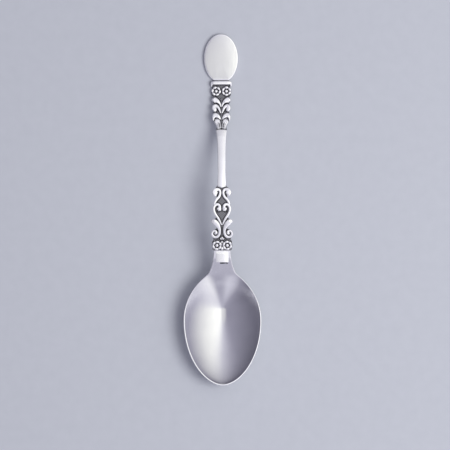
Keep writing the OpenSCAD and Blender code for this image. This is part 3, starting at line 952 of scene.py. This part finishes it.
# What counts as the front: a share of the strip's height, from just below the band on
front_share = 0.9
band_edge = 0.1
ornament = KDTree(2 * len(soldered))
for index, (x, y, half) in enumerate(soldered):
    ornament.insert((x, y, 0), 2 * index)
    ornament.insert((-x, y, 0), 2 * index + 1)
ornament.balance()
polish_values = strip.data.attributes["polish"].data
for point, polish in zip(strip.data.vertices, polish_values):
    x, y, z = (1000 * value for value in point.co)
    tilt = seat_angle(y)
    height = (z - seat_height(y)) * math.cos(tilt)
    if height < front_share * strip_thick or y < y_band - band_edge:
        continue
    near = ornament.find_n((x, y + height * math.sin(tilt), 0), nearest_places)
    clear = min(distance - soldered[index // 2][2] for spot, index, distance in near)
    polish.value = open_ground * min(1, max(0, clear / black_reach))
    if height > strip_thick + midrib_rise / 2:
        polish.value = midrib_polish


# The studio
# A pale table, a large soft lamp to the right and a plain room that is darker to the left.
# White cards close over the spoon brighten the handle and the edges, as in a photographer's light tent.
table_half = 900
table_drop = 0.05
table_dark = (0.53, 0.55, 0.6, 1)
table_light = (0.57, 0.59, 0.64, 1)
table_grain = 400
table_roughness = 0.9
floor_mesh = bmesh.new()
bmesh.ops.create_grid(floor_mesh, x_segments=1, y_segments=1, size=table_half)
bmesh.ops.translate(floor_mesh, vec=(0, 0, -table_drop), verts=floor_mesh.verts[:])
table = bpy.data.materials.new("pale_table")
table.use_nodes = True
table_shader = table.node_tree.nodes["Principled BSDF"]
table_shader.inputs["Roughness"].default_value = table_roughness
grain = table.node_tree.nodes.new("ShaderNodeTexNoise")
grain.inputs["Scale"].default_value = table_grain
grain_tone = table.node_tree.nodes.new("ShaderNodeValToRGB")
grain_tone.color_ramp.elements[0].color = table_dark
grain_tone.color_ramp.elements[1].color = table_light
table.node_tree.links.new(grain.outputs["Fac"], grain_tone.inputs["Fac"])
table.node_tree.links.new(grain_tone.outputs["Color"], table_shader.inputs["Base Color"])
floor = laid_in(floor_mesh, "floor", table)

room = bpy.data.worlds.new("studio_room")
bpy.context.scene.world = room
room.use_nodes = True
room_nodes = room.node_tree.nodes
room_links = room.node_tree.links
looking = room_nodes.new("ShaderNodeTexCoord")
parts = room_nodes.new("ShaderNodeSeparateXYZ")
room_links.new(looking.outputs["Generated"], parts.inputs["Vector"])
around = room_nodes.new("ShaderNodeTexGradient")
around.gradient_type = "RADIAL"
room_links.new(looking.outputs["Generated"], around.inputs["Vector"])
# Once round the room: the place, and the wall's tone low down and high up
wall_tones = (
    (0.0, 0.15, 0.3), (0.12, 0.18, 0.33), (0.17, 0.28, 0.36), (0.2, 0.55, 0.4), (0.225, 0.64, 0.45),
    (0.25, 0.42, 0.46), (0.275, 0.4, 0.5), (0.305, 0.9, 0.65), (0.335, 0.8, 0.8), (0.4, 0.55, 0.95),
    (0.5, 0.37, 1.22), (0.6, 0.26, 1.18), (0.65, 0.2, 1.08), (0.75, 0.1, 0.7), (0.85, 0.1, 0.48),
    (0.905, 0.12, 0.36), (0.945, 0.12, 0.33), (1.0, 0.15, 0.3))
low_wall = 0.25
high_wall = 1.0
# Tones below the neutral one turn cool, by this share more blue and a little less green
neutral_tone = 1.08
cool_blue = 0.3
cool_green = 0.1
# The lit patch of ceiling: its lean to the left, its soft edge, its full inside and its tone
sky_lean = math.radians(3)
sky_edge = math.radians(8.5)
sky_full = math.radians(1)
sky_tone = (0.74, 0.74, 0.755, 1)


def wall_band(tones):
    """Tones once round the room."""
    band = room_nodes.new("ShaderNodeValToRGB")
    for place, tone in tones[1:-1]:
        band.color_ramp.elements.new(place)
    for stop, (place, tone) in zip(band.color_ramp.elements, tones):
        stop.position = place
        cool = cool_blue * (neutral_tone - tone)
        stop.color = (tone, tone * (1 - cool_green * cool), tone * (1 + cool), 1)
    room_links.new(around.outputs["Fac"], band.inputs["Fac"])
    return band


low_walls = wall_band([(place, low) for place, low, high in wall_tones])
high_walls = wall_band([(place, high) for place, low, high in wall_tones])
wall_height = room_nodes.new("ShaderNodeMapRange")
wall_height.inputs["From Min"].default_value = low_wall
wall_height.inputs["From Max"].default_value = high_wall
room_links.new(parts.outputs["Z"], wall_height.inputs["Value"])
shaded = room_nodes.new("ShaderNodeMix")
shaded.data_type = "RGBA"
room_links.new(wall_height.outputs["Result"], shaded.inputs["Factor"])
room_links.new(low_walls.outputs["Color"], shaded.inputs["A"])
room_links.new(high_walls.outputs["Color"], shaded.inputs["B"])
skylight = room_nodes.new("ShaderNodeVectorMath")
skylight.operation = "DOT_PRODUCT"
skylight.inputs[1].default_value = (-math.sin(sky_lean), 0, math.cos(sky_lean))
room_links.new(looking.outputs["Generated"], skylight.inputs[0])
overhead = room_nodes.new("ShaderNodeMapRange")
overhead.interpolation_type = "SMOOTHSTEP"
overhead.inputs["From Min"].default_value = math.cos(sky_edge)
overhead.inputs["From Max"].default_value = math.cos(sky_full)
room_links.new(skylight.outputs["Value"], overhead.inputs["Value"])
ceiling = room_nodes.new("ShaderNodeMix")
ceiling.data_type = "RGBA"
ceiling.inputs["B"].default_value = sky_tone
room_links.new(overhead.outputs["Result"], ceiling.inputs["Factor"])
room_links.new(shaded.outputs["Result"], ceiling.inputs["A"])
room_links.new(ceiling.outputs["Result"], room_nodes["Background"].inputs["Color"])

# The lamp, in metres and watts
lamp_wide = 0.5
lamp_power = 4.0
lamp_place = (0.45, -0.1, 0.75)
soft_lamp = bpy.data.lights.new("soft_lamp", "AREA")
soft_lamp.shape = "DISK"
soft_lamp.size = lamp_wide
soft_lamp.energy = lamp_power
lamp = bpy.data.objects.new("soft_lamp", soft_lamp)
lamp.location = lamp_place
lamp.rotation_euler = (Vector((0, 0, 0)) - lamp.location).to_track_quat("-Z", "Y").to_euler()
lamp.visible_glossy = False
bpy.context.collection.objects.link(lamp)


def white_card(name, near_end, far_end, wide, bright):
    """A white card between two ends, lit as bright as written, that shows only in the silver under it."""
    along = (far_end - near_end) / 1000
    card_light = bpy.data.lights.new(name, "AREA")
    card_light.shape = "RECTANGLE"
    card_light.size = wide / 1000
    card_light.size_y = along.length
    card_light.energy = math.pi * card_light.size * card_light.size_y * bright
    card = bpy.data.objects.new(name, card_light)
    turned = along.to_track_quat("Y", "Z").to_matrix().to_4x4()
    card.matrix_world = Matrix.Translation((near_end + far_end) / 2000) @ turned
    card.visible_camera = False
    card.visible_diffuse = False
    bpy.context.collection.objects.link(card)


# Cards close over the handle: name, both ends and brightness
handle_card_wide = 30
handle_cards = (
    ("scroll_card", (1, -25, 20.5), (1, 6, 23.5), 0.28),
    ("shank_card", (1, 6, 23.5), (1, 38.5, 14.9), 0.4),
    ("leaf_card", (1, 38.5, 14.9), (1, 55.2, 10.5), 0.28),
)
for name, near_end, far_end, bright in handle_cards:
    white_card(name, Vector(near_end), Vector(far_end), handle_card_wide, bright)


def card_row(name, ends, wide, bright, fade=0):
    """A row of small cards along a line of ends, with so many that fade in at either end of the row."""
    count = len(ends) - 1
    for number in range(count):
        shown = min(1, (number + 0.5) / fade, (count - number - 0.5) / fade) if fade else 1
        white_card(f"{name}_{number}", ends[number], ends[number + 1], wide, bright * shown)


# A row beside the shank's right edge
edge_cards = 8
edge_start = 0.05
edge_span = 0.9
edge_aside = 2.3
edge_height = 2.6
edge_shares = [edge_start + edge_span * step / edge_cards for step in range(edge_cards + 1)]
edge_line = [on_arch(shank_half(share) + edge_aside, y_shank + share * shank_length, edge_height)
             for share in edge_shares]
card_row("shank_edge_card", edge_line, wide=4, bright=0.4)

# A row over the bowl's rim, from shoulder to shoulder
card_height = 1.5
rim_cards = 48
rim_start = 0.08
rim_aside = 0.4
rim_turns = [rim_start + (1 - 2 * rim_start) * step / rim_cards for step in range(rim_cards + 1)]
rim_line = [on_arch(*bowl_outline(turn, -rim_aside), card_height) for turn in rim_turns]
card_row("rim_card", rim_line, wide=2.6, bright=0.45, fade=8)

# A row round the plaque's edge, open towards the stem
plaque_cards = 28
plaque_start = math.radians(-52)
plaque_sweep = math.radians(284)
plaque_aside = 1.2
plaque_angles = [plaque_start + plaque_sweep * step / plaque_cards for step in range(plaque_cards + 1)]
plaque_line = [Vector(((plaque_width / 2 + plaque_aside) * math.cos(angle),
                       plaque_middle + (plaque_half + plaque_aside) * math.sin(angle),
                       plaque_sheet + card_height)) for angle in plaque_angles]
card_row("plaque_card", plaque_line, wide=2.4, bright=0.35)

# The camera, straight above and far away, in metres but for its lens
camera_lens = 400
camera_film = 36
camera_far = 5
camera_place = (0.00128, -0.0066, 2.137)
camera_turn = math.radians(-0.3)
lens = bpy.data.cameras.new("camera")
lens.lens = camera_lens
lens.sensor_width = camera_film
lens.clip_end = camera_far
camera = bpy.data.objects.new("camera", lens)
camera.location = camera_place
camera.rotation_euler = (0, 0, camera_turn)
bpy.context.collection.objects.link(camera)
bpy.context.scene.camera = camera
bpy.context.scene.view_settings.view_transform = "Standard"
